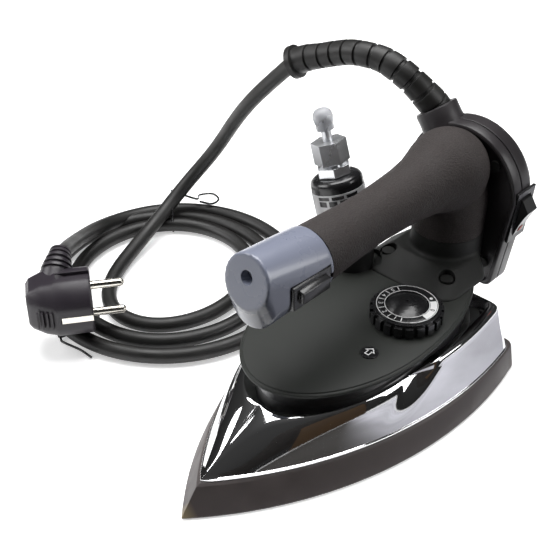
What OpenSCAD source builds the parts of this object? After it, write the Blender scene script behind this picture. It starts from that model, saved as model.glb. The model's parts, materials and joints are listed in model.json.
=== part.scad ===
// Boiler-fed steam hand iron with its mains lead.
// Frame: nose toward -Y, +Z up, +X on the left of the person holding it.
// The origin is on the sole's underside, on the centre plane.

/* [Sole] */
// Length of the sole, nose to heel
sole_len = 208; // [206:0.5:210]
// Greatest width of the sole
sole_w = 121; // [120:0.5:122]
// Thickness of the sole casting
sole_h = 16; // [15.5:0.5:16]
// Diameter of one steam vent
vent_d = 2.6; // [2:0.2:3]

/* [Cover and shield] */
// Height of the plated cover's deck
deck_z = 38; // [37.5:0.5:38]
// Height of the cover's raised rear rim
rim_z = 42; // [42:0.5:43]
// Half width of the heat shield
shield_a = 46; // [45:0.5:47]
// Top of the heat shield
shield_z = 52; // [52:0.5:52.5]

/* [Handle] */
// Height of the grip's axis
grip_z = 109; // [108:0.5:110]
// Radius of the grip at its middle
grip_r = 13.5; // [13:0.25:14]

/* [Dial] */
// Radius of the dial's knurled skirt
dial_r = 19.4; // [19:0.2:19.6]
// Number of grip teeth around the dial
dial_teeth = 20; // [18:1:24]

/* [Solenoid] */
// Outward lean of the solenoid valve, degrees
valve_lean = 17.5; // [16:0.5:18]
// Radius of the solenoid's case
case_r = 14.5; // [14:0.25:14.5]

/* [Cord] */
// Diameter of the mains cord
cord_d = 9.2; // [8.4:0.2:9.4]

/* [Hidden] */
$fn = 48;

gap = 0.3;            // clearance between loose neighbours
skin = 1.2;           // thickness of the plated cover
wall = 2.5;           // thickness of the moulded shells

// ---- shared outline functions ----

// Two arcs of one circle meeting at a pointed nose and cut off square at the heel.
// reach: half width; back: how far the widest place lies behind the middle.
side_r = 222;
function ogive_half(r, reach, yc, y) = sqrt(r * r - (y - yc) * (y - yc)) - (r - reach);
function ogive_tip(r, reach, yc) = yc - sqrt(r * r - (r - reach) * (r - reach));
function ogive(r, reach, yc, heel, corner, steps = 18) =
    let(tip = ogive_tip(r, reach, yc) + 0.4,
        side = [for (i = [0:steps])
            let(y = tip + (heel - corner - tip) * pow(i / steps, 1.3))
            [ogive_half(r, reach, yc, y), y]],
        w = ogive_half(r, reach, yc, heel - corner),
        round_corner = [for (a = [15:15:90])
            [w - corner + corner * cos(a), heel - corner + corner * sin(a)]],
        half = concat(side, round_corner),
        n = len(half))
    concat(half, [for (i = [0:n - 1]) [-half[n - 1 - i][0], half[n - 1 - i][1]]]);

// Egg: an ellipse with a shorter front half and a longer rear half, cut off at the heel.
function egg(a, front, rear, yc, heel) =
    let(end = asin(min(1, (heel - yc) / rear)),
        half = concat([for (t = [-86:8:-6]) [a * cos(t), yc + front * sin(t)]],
                      [for (k = [0:6]) let(t = end * k / 6) [a * cos(t), yc + rear * sin(t)]]),
        n = len(half))
    concat(half, [for (i = [0:n - 1]) [-half[n - 1 - i][0], half[n - 1 - i][1]]]);

shield_front = 74;
shield_rear = 85;
shield_yc = 25;
shield_heel = 104;
function shield_egg(inset) =
    egg(shield_a - inset, shield_front - inset, shield_rear - inset, shield_yc, shield_heel - inset);

// Ring of points around a path, for the swept solids
function unit(v) = v / norm(v);
function heading(p, i) = unit(p[min(i + 1, len(p) - 1)] - p[max(i - 1, 0)]);
function ring_points(c, t, r, ref, sides) =
    let(u = unit(cross(ref, t)), w = cross(t, u))
    [for (k = [0:sides - 1]) c + r * (cos(360 * k / sides) * u + sin(360 * k / sides) * w)];

// A closed tube through the points of path, with one radius for each point
module swept(path, radii, ref, sides) {
    n = len(path);
    points = [for (i = [0:n - 1]) each ring_points(path[i], heading(path, i), radii[i], ref, sides)];
    walls = [for (i = [0:n - 2]) for (k = [0:sides - 1])
        let(a = i * sides + k, b = i * sides + (k + 1) % sides)
        each [[a, a + sides, b + sides], [a, b + sides, b]]];
    start = [for (k = [0:sides - 1]) k];
    finish = [for (k = [0:sides - 1]) n * sides - 1 - k];
    polyhedron(points, concat([start], walls, [finish]), convexity = 6);
}

// ---- sole and what is cast into or laid on it ----

sole_reach = sole_w / 2;
sole_yc = 48;
heel_y = sole_len / 2;
element_r = 3.5;
element_bend = 42;
element_yc = 10;
element_end = 78;
element_z = 12;
chamber = [[-22, -15], [22, -15], [32, 5], [32, 72], [-32, 72], [-32, 5]];
lid_outline = [[-24, -17], [24, -17], [34, 4], [34, 74], [-34, 74], [-34, 4]];
chamber_floor = 6;
lid_h = 2;
dial_at = [20.5, 41];
pipe_at = [-25, 61];
pipe_r = 3.5;

module sole_blank() {
    hull() {
        linear_extrude(1.5)
            polygon(ogive(side_r, sole_reach, sole_yc, heel_y, 6));
        translate([0, 0, sole_h - 1])
            linear_extrude(1)
                polygon(ogive(side_r - 3.5, sole_reach - 3.5, sole_yc + 7, heel_y - 1.5, 6));
    }
}

module element_channel(half) {
    translate([0, element_yc, element_z])
        rotate([0, 0, 180])
            rotate_extrude(angle = 180)
                translate([element_bend, 0]) children();
    for (s = [-1, 1])
        translate([s * element_bend, element_yc, element_z])
            rotate([-90, 0, 0])
                linear_extrude(element_end - element_yc + half)
                    children();
}

module soleplate() {
    color([0.29, 0.27, 0.27])
    difference() {
        sole_blank();
        // channel for the element, open at the top
        element_channel(4) translate([-4, -4]) square([8, 8 + 1]);
        translate([0, 0, element_z])
            for (s = [-1, 1])
                translate([s * element_bend - 4, element_yc, 0])
                    cube([8, element_end - element_yc + 4, 8]);
        // steam chamber and the seat of its lid
        translate([0, 0, chamber_floor]) linear_extrude(sole_h) polygon(chamber);
        translate([0, 0, sole_h - lid_h]) linear_extrude(lid_h + 1) polygon(lid_outline);
        // vents in three rows through the chamber's floor
        for (row = [-1:1])
            for (i = [0:6])
                translate([row * (8 + 2 * i), -5 + 10 * i, -1])
                    cylinder(d = vent_d, h = chamber_floor + 2);
    }
}

module heating_element() {
    color([0.55, 0.5, 0.45]) {
        element_channel(0) circle(r = element_r);
        for (s = [-1, 1])
            translate([s * element_bend, element_end, element_z])
                cylinder(r = 2.5, h = 20);
    }
}

module steam_chamber_lid() {
    color([0.7, 0.7, 0.72])
    translate([0, 0, sole_h - lid_h])
        difference() {
            linear_extrude(lid_h) polygon(lid_outline);
            translate([pipe_at[0], pipe_at[1], -1]) cylinder(r = 2, h = lid_h + 2);
        }
}

insulation_h = 2;
thermostat_r = 12;
module insulation_sheet() {
    color([0.85, 0.82, 0.75])
    translate([0, 0, sole_h])
        difference() {
            linear_extrude(insulation_h) polygon(ogive(side_r - 12, sole_reach - 12, 56, 92, 5));
            translate([dial_at[0], dial_at[1], -1]) cylinder(r = thermostat_r + 1, h = 5);
            translate([pipe_at[0], pipe_at[1], -1]) cylinder(r = pipe_r + 0.5, h = 5);
            for (s = [-1, 1])
                translate([s * element_bend, element_end, -1]) cylinder(r = 4, h = 5);
        }
}

module thermal_fuse() {
    color([0.8, 0.8, 0.78])
    translate([-16, 20, sole_h + insulation_h + 3])
        rotate([-90, 0, 0]) {
            cylinder(r = 3, h = 14);
            translate([0, 0, -8]) cylinder(r = 0.8, h = 30);
        }
}

// ---- plated cover ----

cover_r = side_r - 5;
cover_reach = sole_reach - 5;
module cover_prow(t) {
    hull() {
        translate([0, 0, sole_h])
            linear_extrude(1.5)
                polygon(ogive(cover_r - t, cover_reach - t, 55, 98 - t, 7));
        translate([0, 0, deck_z - 1 - t])
            linear_extrude(1)
                polygon(egg(41 - t, 74 - t, 160, 25, 98 - t));
    }
}
module cover_stern(t) {
    hull() {
        translate([0, 0, sole_h])
            linear_extrude(1.5)
                intersection() {
                    polygon(ogive(cover_r - t, cover_reach - t, 55, 98 - t, 7));
                    translate([-70, -12 + t]) square([140, 120]);
                }
        translate([0, 0, rim_z - 1])
            linear_extrude(1)
                intersection() {
                    polygon(ogive(cover_r - 7.5 - t, cover_reach - 7.5 - t, 55, 95 - t, 7));
                    translate([-70, 24 + t]) square([140, 120]);
                }
    }
}

module chrome_cover() {
    color([0.86, 0.86, 0.88])
    difference() {
        union() {
            cover_prow(0);
            cover_stern(0);
        }
        // hollow underneath
        difference() {
            translate([0, 0, -0.01]) union() {
                cover_prow(skin);
                cover_stern(skin);
            }
            translate([-70, -100, deck_z - skin]) cube([140, 220, 20]);
        }
        // deck sunk below the rear rim
        translate([0, 0, deck_z])
            linear_extrude(20)
                intersection() {
                    polygon(ogive(cover_r - 13, cover_reach - 13, 55, 100, 3));
                    translate([-70, -60]) square([140, 200]);
                }
        // through holes for spindle, pipe, leads and the two long screws
        translate([dial_at[0], dial_at[1], 30]) cylinder(r = 6, h = 20);
        translate([pipe_at[0], pipe_at[1], 30]) cylinder(r = pipe_r + 1, h = 20);
        translate([0, 88, 30]) cylinder(r = 8, h = 20);
        for (s = [-1, 1])
            translate([s * saddle_screw_x, saddle_screw_y, 30]) cylinder(r = 2.6, h = 20);
    }
}

// ---- insulating body, heat shield and pointer ----

shield_h = 3;
saddle_screw_x = 20;
saddle_screw_y = 77;
under_wall = 4;
module under_body() {
    body_h = shield_z - shield_h - deck_z;
    color([0.09, 0.09, 0.09])
    translate([0, 0, deck_z])
        difference() {
            union() {
                difference() {
                    linear_extrude(body_h) polygon(egg(37.5, 66, 90, 25, 97));
                    translate([0, 0, -1])
                        linear_extrude(body_h + 2)
                            polygon(egg(37.5 - under_wall, 66 - under_wall, 86, 25, 97 - under_wall));
                }
                for (s = [-1, 1]) {
                    translate([s * saddle_screw_x, saddle_screw_y, 0]) cylinder(r = 5, h = body_h);
                    // rib from the boss out to the ring
                    translate([s * (saddle_screw_x + 6) - 3, saddle_screw_y - 2, 0]) cube([6, 4, body_h]);
                }
            }
            for (s = [-1, 1])
                translate([s * saddle_screw_x, saddle_screw_y, -1]) cylinder(r = 1.8, h = body_h + 2);
        }
}

module heat_shield() {
    color([0.2, 0.2, 0.19])
    translate([0, 0, shield_z - shield_h])
        difference() {
            union() {
                linear_extrude(shield_h - 1) polygon(shield_egg(0));
                linear_extrude(shield_h) polygon(shield_egg(1.2));
            }
            translate([dial_at[0], dial_at[1], -1]) cylinder(r = 4.5, h = 6);
            translate([pipe_at[0], pipe_at[1], -1]) cylinder(r = pipe_r + 0.5, h = 6);
            translate([0, 92, -1]) cylinder(r = 8, h = 6);
            for (s = [-1, 1])
                translate([s * saddle_screw_x, saddle_screw_y, -1]) cylinder(r = 1.8, h = 6);
        }
}

badge_r = 4.6;
module pointer_badge() {
    color([0.05, 0.05, 0.05])
    translate([25, 5, shield_z]) {
        cylinder(r = badge_r, h = 0.6);
        linear_extrude(0.9)
            polygon([[0, 3.2], [-2.4, 0.4], [-1.1, 0.4], [-1.1, -2.8], [1.1, -2.8], [1.1, 0.4], [2.4, 0.4]]);
    }
}

// ---- thermostat and dial ----

spindle_r = 3;
thermostat_h = 16;
dial_bottom = shield_z + 1;
dial_top = 60;
module thermostat_body() {
    color([0.8, 0.75, 0.6])
    translate([dial_at[0], dial_at[1], sole_h])
        difference() {
            union() {
                cylinder(r = thermostat_r, h = thermostat_h - 4);
                cylinder(r = 6, h = thermostat_h);
            }
            translate([0, 0, 6]) cylinder(r = spindle_r + 0.05, h = thermostat_h);
        }
}

module thermostat_spindle() {
    color([0.75, 0.75, 0.75])
    translate([dial_at[0], dial_at[1], sole_h + 6.5])
        cylinder(r = spindle_r, h = dial_top - 2 - sole_h - 6.5);
}

module dial() {
    tooth_w = 360 / dial_teeth;
    color([0.06, 0.06, 0.06])
    translate([dial_at[0], dial_at[1], dial_bottom])
        difference() {
            union() {
                cylinder(r = dial_r - 1.6, h = dial_top - dial_bottom);
                for (i = [0:dial_teeth - 1])
                    rotate([0, 0, i * tooth_w])
                        rotate_extrude(angle = tooth_w * 0.66)
                            square([dial_r, dial_top - dial_bottom - 1.4]);
            }
            translate([0, 0, -1]) cylinder(r = dial_r - 4, h = 4);
            translate([0, 0, -1]) cylinder(r = spindle_r, h = dial_top - 2 - dial_bottom + 1);
        }
    color([0.06, 0.06, 0.06])
    translate([dial_at[0], dial_at[1], dial_bottom + 0.4])
        difference() {
            cylinder(r = 6, h = 4);
            translate([0, 0, -1]) cylinder(r = spindle_r, h = 6);
        }
}

ring_outer = 16.3;
ring_inner = 11.2;
module dial_scale_ring() {
    color([0.8, 0.8, 0.8])
    translate([dial_at[0], dial_at[1], dial_top])
        difference() {
            cylinder(r = ring_outer, h = 0.6);
            translate([0, 0, -1]) cylinder(r = ring_inner, h = 3);
        }
}

module dial_cap() {
    cap_ball = 24;
    rise = 2.8;
    cap_r = ring_inner - 0.1;
    edge = asin(cap_r / cap_ball);
    color([0.07, 0.07, 0.07])
    translate([dial_at[0], dial_at[1], dial_top])
        difference() {
            rotate_extrude()
                polygon(concat(
                    [[0, 0], [cap_r, 0]],
                    [for (k = [0:5]) let(t = edge * (1 - k / 5))
                        [cap_ball * sin(t), rise - cap_ball + cap_ball * cos(t)]]));
            translate([0, 0, 1.4]) cylinder(r = 0.7, h = 3);
        }
}

// ---- solenoid valve, drawn upright at its own origin and then leaned outward ----

valve_foot = [-33, 61, 58];
module leaned() {
    translate(valve_foot) rotate([0, -valve_lean, 0]) children();
}
plunger_r = 4.8;
coil_r = 11.5;
case_low = 2.3;
case_top = 47;
bore_top = 38;

module steam_pipe() {
    color([0.72, 0.58, 0.3])
    translate([pipe_at[0], pipe_at[1], sole_h])
        difference() {
            cylinder(r = pipe_r, h = shield_z - sole_h);
            translate([0, 0, -1]) cylinder(r = 2, h = 50);
        }
}

module valve_block() {
    color([0.08, 0.08, 0.08])
    difference() {
        translate([valve_foot[0], valve_foot[1], shield_z]) cylinder(r = 12, h = 24);
        leaned() translate([-40, -40, case_low]) cube([80, 80, 60]);
        leaned() translate([0, 0, -2]) cylinder(r = 2, h = 20);
        translate([pipe_at[0], pipe_at[1], shield_z - 1]) cylinder(r = 2, h = 5);
        translate([valve_foot[0], pipe_at[1], shield_z + 3])
            rotate([0, 90, 0]) cylinder(r = 1.9, h = pipe_at[0] - valve_foot[0]);
    }
}

module solenoid_case() {
    color([0.07, 0.07, 0.07])
    leaned()
        difference() {
            rotate_extrude()
                polygon(concat(
                    [[0, case_low], [case_r, case_low], [case_r, case_top - 4]],
                    [for (a = [15:15:90]) [case_r - 4 + 4 * cos(a), case_top - 4 + 4 * sin(a)]],
                    [[0, case_top]]));
            // room for the coil, with the plunger's tube left standing inside it
            difference() {
                translate([0, 0, case_low + 3]) cylinder(r = coil_r, h = bore_top - case_low - 3);
                translate([0, 0, case_low]) cylinder(r = plunger_r + 1.2, h = bore_top);
            }
            translate([0, 0, case_low - 1]) cylinder(r = plunger_r + 0.05, h = bore_top - case_low + 1);
            translate([0, 0, bore_top - 1]) cylinder(r = 1.5, h = 20);
        }
}

module solenoid_coil() {
    color([0.72, 0.4, 0.2])
    leaned()
        difference() {
            translate([0, 0, case_low + 4]) cylinder(r = coil_r - 0.1, h = bore_top - case_low - 6);
            cylinder(r = plunger_r + 1.3, h = 60);
        }
}

module solenoid_label() {
    color([0.85, 0.85, 0.85])
    leaned()
        rotate([0, 0, -160])
            translate([0, 0, 21])
                rotate_extrude(angle = 210)
                    translate([case_r, 0]) square([0.25, 19]);
}

module solenoid_plunger() {
    color([0.75, 0.75, 0.78])
    leaned()
        difference() {
            translate([0, 0, case_low + 0.4]) cylinder(r = plunger_r, h = 22);
            translate([0, 0, case_low + 14]) cylinder(r = 3.6, h = 20);
        }
}

module plunger_spring() {
    color([0.8, 0.8, 0.8])
    leaned()
        for (i = [0:6])
            translate([0, 0, case_low + 15 + 2.2 * i])
                rotate_extrude() translate([2.8, 0]) circle(r = 0.4);
}

module inlet_stem() {
    color([0.75, 0.75, 0.76])
    leaned()
        difference() {
            translate([0, 0, case_top]) cylinder(r = 5, h = 13);
            translate([0, 0, case_top - 1]) cylinder(r = 1.8, h = 20);
        }
}

nut_r = 9.8;          // across the corners, for a 17 mm spanner
module lock_nut() {
    color([0.8, 0.8, 0.82])
    leaned()
        translate([0, 0, case_top + 0.4])
            difference() {
                rotate([0, 0, 12]) cylinder(r = nut_r, h = 5, $fn = 6);
                translate([0, 0, -1]) cylinder(r = 5, h = 8);
            }
}

module compression_nut() {
    color([0.84, 0.84, 0.86])
    leaned()
        translate([0, 0, case_top + 7.3])
            difference() {
                rotate([0, 0, 40]) cylinder(r = nut_r, h = 12, $fn = 6);
                translate([0, 0, -1]) cylinder(r = 5, h = 6.7);
                translate([0, 0, 5]) cylinder(r = 2.8, h = 8);
            }
}

tube_top = 78;
module inlet_tube() {
    color([0.85, 0.85, 0.86])
    leaned()
        difference() {
            translate([0, 0, case_top + 13]) cylinder(r = 2.8, h = tube_top - case_top - 13);
            translate([0, 0, case_top]) cylinder(r = 1.8, h = 40);
        }
}

module dust_cap() {
    color([0.93, 0.93, 0.95])
    leaned()
        difference() {
            union() {
                translate([0, 0, 72.5]) cylinder(r = 5.3, h = 9);
                translate([0, 0, 81.5]) cylinder(r1 = 5.3, r2 = 4, h = 2.5);
            }
            translate([0, 0, 71]) cylinder(r = 2.85, h = tube_top - 71 + 0.5);
        }
}

// ---- handle ----

seam_y = -14;
face_y = 113.5;       // plane where the handle and the rear housing meet
base_top = 71;        // seam between the grip and the post below it
post_y = 103.5;
elbow_y = 97.5;
elbow_r = 22.5;
grip_skin = 3;
core_wall = 3;
// Radius of the grip along its axis, as [y, how much wider than at the middle]
grip_line = [
    [seam_y, 2.5], [0, 1.5], [16, 0.5], [32, 0], [48, 0.7], [62, 1.6], [75, 3.4], [84, 6], [89, 7.9]
];
// Radius of the upright part of the handle, as [z, radius]
post_line = [[base_top, 20], [80, 20.5], [90, 21.3], [98, 20.5], [105, 17.5], [110, 12]];

// The grip, its elbow and the upright part, drawn smaller all round by inset
module handle_tube(inset, bottom) {
    intersection() {
        union() {
            translate([0, 0, grip_z])
                rotate([-90, 0, 0])
                    rotate_extrude()
                        polygon(concat(
                            [[0, seam_y]],
                            [for (p = grip_line) [grip_r + p[1] - inset, p[0]]],
                            [for (t = [100:-10:0])
                                [(elbow_r - inset) * sin(t), elbow_y + (elbow_r - inset) * cos(t)]]));
            translate([0, post_y, 0])
                rotate_extrude()
                    polygon(concat(
                        [[0, base_top]],
                        [for (p = post_line) [p[1] - inset, p[0]]],
                        [[0, 112 - inset]]));
        }
        translate([-60, -60, bottom]) cube([120, 60 + face_y, 100]);
    }
}

module handle_grip() {
    color([0.25, 0.23, 0.23])
    difference() {
        handle_tube(0, base_top + 0.5);
        handle_tube(grip_skin, base_top);
        translate([-30, seam_y - 1, grip_z - 30]) cube([60, 1.5, 60]);
        translate([-40, face_y - gap, base_top]) cube([80, 10, 90]);
    }
}

cap_screw_z = grip_z + 10;
tenon_end = -47.6;
tenon_root = -10;
module handle_core() {
    inset = grip_skin + gap;
    color([0.12, 0.12, 0.12]) {
        difference() {
            handle_tube(inset, base_top);
            handle_tube(inset + core_wall, base_top - 1);
            translate([-30, seam_y - 1, grip_z - 30]) cube([60, 1.8, 60]);
        }
        // tenon that carries the cap's screw
        difference() {
            translate([0, tenon_end, cap_screw_z])
                rotate([-90, 0, 0]) cylinder(r = 2.6, h = tenon_root - tenon_end);
            translate([0, tenon_end - 1, cap_screw_z])
                rotate([-90, 0, 0]) cylinder(r = 1.6, h = 33);
        }
    }
}

module handle_base() {
    post_r = post_line[0][1];
    color([0.13, 0.13, 0.13])
    difference() {
        union() {
            intersection() {
                translate([0, post_y, shield_z]) cylinder(r = post_r, h = base_top - shield_z);
                translate([-50, 50, 0]) cube([100, face_y - 50, 100]);
            }
            hull() {
                translate([-31, 62, shield_z]) cube([62, 38, 1]);
                translate([-25, 76, shield_z + 9]) cube([50, 24, 1]);
            }
        }
        translate([0, post_y, shield_z - 1]) cylinder(r = 13, h = 30);
        for (s = [-1, 1]) {
            translate([s * saddle_screw_x, saddle_screw_y, shield_z + 3]) cylinder(r = 4.6, h = 20);
            translate([s * saddle_screw_x, saddle_screw_y, shield_z - 1]) cylinder(r = 1.8, h = 20);
        }
        // hollow for the foot of the valve
        translate([valve_foot[0], valve_foot[1], shield_z - 1]) cylinder(r = 12.6, h = 30);
        leaned() translate([0, 0, -6]) cylinder(r = case_r + 0.6, h = 60);
    }
}

module saddle_screws() {
    color([0.6, 0.6, 0.62])
    for (s = [-1, 1])
        translate([s * saddle_screw_x, saddle_screw_y, 0]) {
            translate([0, 0, shield_z + 3]) cylinder(r = 3.6, h = 2.6);
            translate([0, 0, deck_z + 1]) cylinder(r = 1.8, h = shield_z + 3 - deck_z - 1);
        }
}

// ---- nose cap with the steam button ----

cap_front = -57;
face_slant = 13.5;    // lean of the cap's front face, degrees
pocket_y = [-43, -16.5];
pocket_z = [100, 113.5];
module cap_shape(inset) {
    hull() {
        translate([0, seam_y + inset, grip_z])
            rotate([90, 0, 0]) cylinder(r = 16.6 - inset, h = 1 + 2 * inset, $fn = 32);
        translate([0, cap_front + inset, grip_z + 8])
            rotate([90 - face_slant, 0, 0])
                cylinder(r = 14 - inset, h = 1.5, $fn = 32);
        translate([0, cap_front + inset + 5, grip_z - 4.5])
            rotate([90 - face_slant, 0, 0])
                cylinder(r = 14.5 - inset, h = 1.5, $fn = 32);
    }
}

screw_floor = -48.9;   // where the cap screw's head bears on the cap
module nose_cap() {
    color([0.54, 0.56, 0.63])
    difference() {
        union() {
            difference() {
                cap_shape(0);
                cap_shape(2.2);
            }
            // boss behind the front face for the screw
            intersection() {
                cap_shape(0);
                translate([0, screw_floor + 1, cap_screw_z]) rotate([90, 0, 0]) cylinder(r = 4.8, h = 12);
            }
        }
        translate([-30, seam_y - 0.6, grip_z - 30]) cube([60, 10, 60]);
        // pocket of the button, cut through the wall
        translate([10, pocket_y[0], pocket_z[0]])
            cube([12, pocket_y[1] - pocket_y[0], pocket_z[1] - pocket_z[0]]);
        // screw hole in the front face
        translate([0, screw_floor, cap_screw_z]) rotate([90, 0, 0]) cylinder(r = 3.6, h = 20);
        translate([0, screw_floor + 2, cap_screw_z]) rotate([90, 0, 0]) cylinder(r = 1.7, h = 10);
    }
}

module cap_screw() {
    color([0.3, 0.3, 0.3])
    translate([0, screw_floor, cap_screw_z])
        rotate([90, 0, 0]) {
            cylinder(r = 3.2, h = 2.5);
            translate([0, 0, -30]) cylinder(r = 1.6, h = 30);
        }
}

button_face = 16.7;   // outer face of the button's plate
switch_face = 8;      // face of the microswitch that the button's peg presses
module steam_button() {
    plate = [3.2, pocket_y[1] - pocket_y[0] - 2 * gap, pocket_z[1] - pocket_z[0] - 2 * gap];
    peg_back = switch_face + 2.4;
    color([0.05, 0.05, 0.05]) {
        translate([button_face - plate[0], pocket_y[0] + gap, pocket_z[0] + gap]) cube(plate);
        translate([button_face - 0.5, -38.5, 103.5]) cube([3.2, 18.5, 7]);
        translate([peg_back, -30, 105]) cube([button_face - 1 - peg_back, 4, 4]);
    }
}

module microswitch() {
    color([0.15, 0.15, 0.16])
    translate([switch_face - 10, -38, 101])
        difference() {
            cube([10, 20, 10]);
            for (y = [5, 15]) translate([5, y, -1]) cylinder(r = 1.5, h = 20);
        }
}

module handle_leads() {
    color([0.6, 0.15, 0.1])
    for (z = [-1, 1])
        translate([3, -17.5, grip_z - 2 + 3 * z])
            rotate([-90, 0, 0]) cylinder(r = 1.1, h = 96);
}

// ---- rear housing: two shells on one arch outline ----

arch_r = 35;
arch_z = 94;
foot_half = 27;
foot_z = 36;
lip_y = 111.5;
part_y = 118.6;
back_y = 130;
gland_tilt = 36;
collar_r = 12;
gland_y = 119;

function arch_outline(inset) = concat(
    [for (a = [0:10:180]) [(arch_r - inset) * cos(a), arch_z + (arch_r - inset) * sin(a)]],
    [[-(foot_half - inset), foot_z + 5 + inset * 0.3], [-(foot_half - 5 - inset * 0.3), foot_z + inset],
     [foot_half - 5 - inset * 0.3, foot_z + inset], [foot_half - inset, foot_z + 5 + inset * 0.3]]);

// The outline drawn in the XZ plane and pulled along +Y from y0 to y1
module arch_slab(y0, y1, inset) {
    translate([0, y1, 0])
        rotate([90, 0, 0])
            linear_extrude(y1 - y0)
                polygon(arch_outline(inset));
}

module along_gland() {
    translate([0, gland_y, arch_z]) rotate([0, -gland_tilt, 0]) children();
}

gland_bore = 9;
face_plate = 1.6;
rocker_at = [32.2, 121.3, 84.5];
side_slope = 6;       // lean of the housing's side wall, degrees
module at_rocker() {
    translate(rocker_at) rotate([0, side_slope, 0]) children();
}
insert_half = [5.9, 13.7];
opening_half = [4.7, 12.5];
bezel_half = [8.2, 16];
module rocker_slot(half, x0, x1) {
    at_rocker() translate([x0, -half[0], -half[1]]) cube([x1 - x0, 2 * half[0], 2 * half[1]]);
}

housing_screw_at = [[-20, 112], [20, 112], [-20, 50], [20, 50]];
module screws_across(y) {
    for (p = housing_screw_at)
        translate([p[0], y, p[1]]) rotate([90, 0, 0]) children();
}

module housing_front() {
    color([0.27, 0.26, 0.27])
    difference() {
        union() {
            arch_slab(lip_y, part_y, 0);
            intersection() {
                along_gland() cylinder(r = collar_r, h = arch_r + 8);
                translate([-60, part_y - 12, arch_z]) cube([120, 12, 90]);
                along_gland() translate([-30, -30, arch_r - wall]) cube([60, 60, 40]);
            }
        }
        arch_slab(lip_y - 1, face_y, wall);
        arch_slab(face_y + face_plate, part_y + 1, wall);
        along_gland() translate([0, 0, arch_r - wall]) cylinder(r = gland_bore, h = 30);
        rocker_slot(insert_half, -9, 6);
        rocker_slot(bezel_half, 0.9, 6);
        screws_across(part_y) cylinder(r = 1.7, h = 10);
        // way through for the leads
        translate([0, part_y, 84]) rotate([90, 0, 0]) cylinder(r = 9, h = 10);
    }
}

boss_end = 115.4;
module housing_rear() {
    color([0.25, 0.24, 0.25]) {
        difference() {
            union() {
                arch_slab(part_y, back_y - 3, 0);
                arch_slab(back_y - 3.01, back_y, 1.2);
                intersection() {
                    along_gland() cylinder(r = collar_r, h = arch_r + 8);
                    translate([-60, part_y, arch_z]) cube([120, 14, 90]);
                    along_gland() translate([-30, -30, arch_r - wall]) cube([60, 60, 40]);
                }
            }
            arch_slab(part_y - 1, back_y - wall, wall);
            along_gland() translate([0, 0, arch_r - wall]) cylinder(r = gland_bore, h = 30);
            rocker_slot(insert_half, -9, 6);
            rocker_slot(bezel_half, 0.9, 6);
        }
        // bosses that the housing screws turn into
        screws_across(back_y - wall)
            difference() {
                cylinder(r = 4, h = back_y - wall - boss_end);
                translate([0, 0, 1]) cylinder(r = 1.5, h = 20);
            }
    }
}

module housing_screws() {
    color([0.6, 0.6, 0.62])
    screws_across(face_y) {
        cylinder(r = 3, h = 1.6);
        translate([0, 0, -9]) cylinder(r = 1.5, h = 9);
    }
}

module terminal_block() {
    color([0.9, 0.88, 0.82])
    translate([-14, part_y + 0.6, 62])
        difference() {
            cube([28, 7.5, 14]);
            for (i = [0:2]) translate([5 + 9 * i, -1, 7]) rotate([-90, 0, 0]) cylinder(r = 2, h = 5);
        }
}

module rocker_bezel() {
    color([0.06, 0.06, 0.06])
    difference() {
        union() {
            rocker_slot(bezel_half - [0.05, 0.05], 0.95, 2.5);
            rocker_slot(insert_half - [0.05, 0.05], -8, 1.5);
        }
        rocker_slot(opening_half, -9, 6);
    }
}

// Outline of the rocker in its own XZ plane, with its lower end pressed in
rocker_side = [
    [-4, -5.5], [1.2, -11.6], [3, -11.8], [4.6, -5], [6.4, 0.5], [8.4, 5.2], [3.6, 11], [1.6, 11.9], [-4, 6.5]
];
module rocker() {
    half_w = opening_half[0] - gap;
    color([0.04, 0.04, 0.04])
    at_rocker()
        translate([0, half_w, 0])
            rotate([90, 0, 0])
            {
                linear_extrude(2 * half_w)
                    polygon(rocker_side);
                // stub pivots on both sides
                translate([-1, 0, -0.2]) cylinder(r = 1.5, h = 2 * half_w + 0.4);
            }
}

module cord_clamp() {
    color([0.2, 0.2, 0.2])
    along_gland()
        translate([-9, -2.6, 8])
            cube([18, 8, 4]);
}

// ---- strain relief and cord ----

// Centre line of the bent strain relief, from inside the collar to its flanged mouth
relief_path = [
    [-19.5, 119, 121], [-25, 119, 128.5], [-31, 115, 136.5], [-38, 112, 143], [-47, 110, 148],
    [-56, 109, 150.5], [-66, 107, 151], [-76, 106, 149.5], [-86, 105, 146], [-95, 103, 142.5],
    [-104, 101, 139], [-107, 100, 137.5], [-109, 99.5, 136.5], [-112, 98.5, 134.5]
];
relief_r = [8.7, 8.8, 8.4, 8, 7.6, 7.3, 7.1, 7.1, 7.2, 7.4, 7.9, 8.3, 9.8, 9.8];
module strain_relief() {
    color([0.12, 0.12, 0.12])
        swept(relief_path, relief_r, [0, 1, 0], 14);
}

// Free part of the cord from the strain relief's mouth down to the coil
lead_path = [
    [-112, 98, 134], [-127, 99, 119], [-140, 95, 105], [-150, 97, 93], [-160, 98, 81], [-170, 99, 66],
    [-178, 99, 53], [-186, 98, 38], [-193, 96, 25], [-198, 89, 15], [-198, 78, 8]
];
coil_at = [-146, 26];
coil_outer = 83;
coil_inner = 42;
coil_h = 9.4;
// Short end of the cord, from the coil up into the plug
tail_path = [
    [-221, 46, 5], [-218, 34, 8], [-212, 19, 13.5], [-203, 4, 20], [-193, -10, 27], [-183, -22, 34.5],
    [-174.5, -32, 40.5], [-166, -40.5, 43.5]
];

module cord_lead() {
    color([0.13, 0.13, 0.13])
        swept(lead_path, [for (p = lead_path) cord_d / 2], [0, 1, 0], 10);
}

module cord_coil() {
    color([0.13, 0.13, 0.13])
    translate([coil_at[0], coil_at[1], 0])
        rotate_extrude()
            translate([coil_inner, 0]) square([coil_outer - coil_inner, coil_h]);
}

module cord_tail() {
    color([0.13, 0.13, 0.13])
        swept(tail_path, [for (p = tail_path) cord_d / 2], [0, 0, 1], 10);
}

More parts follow.
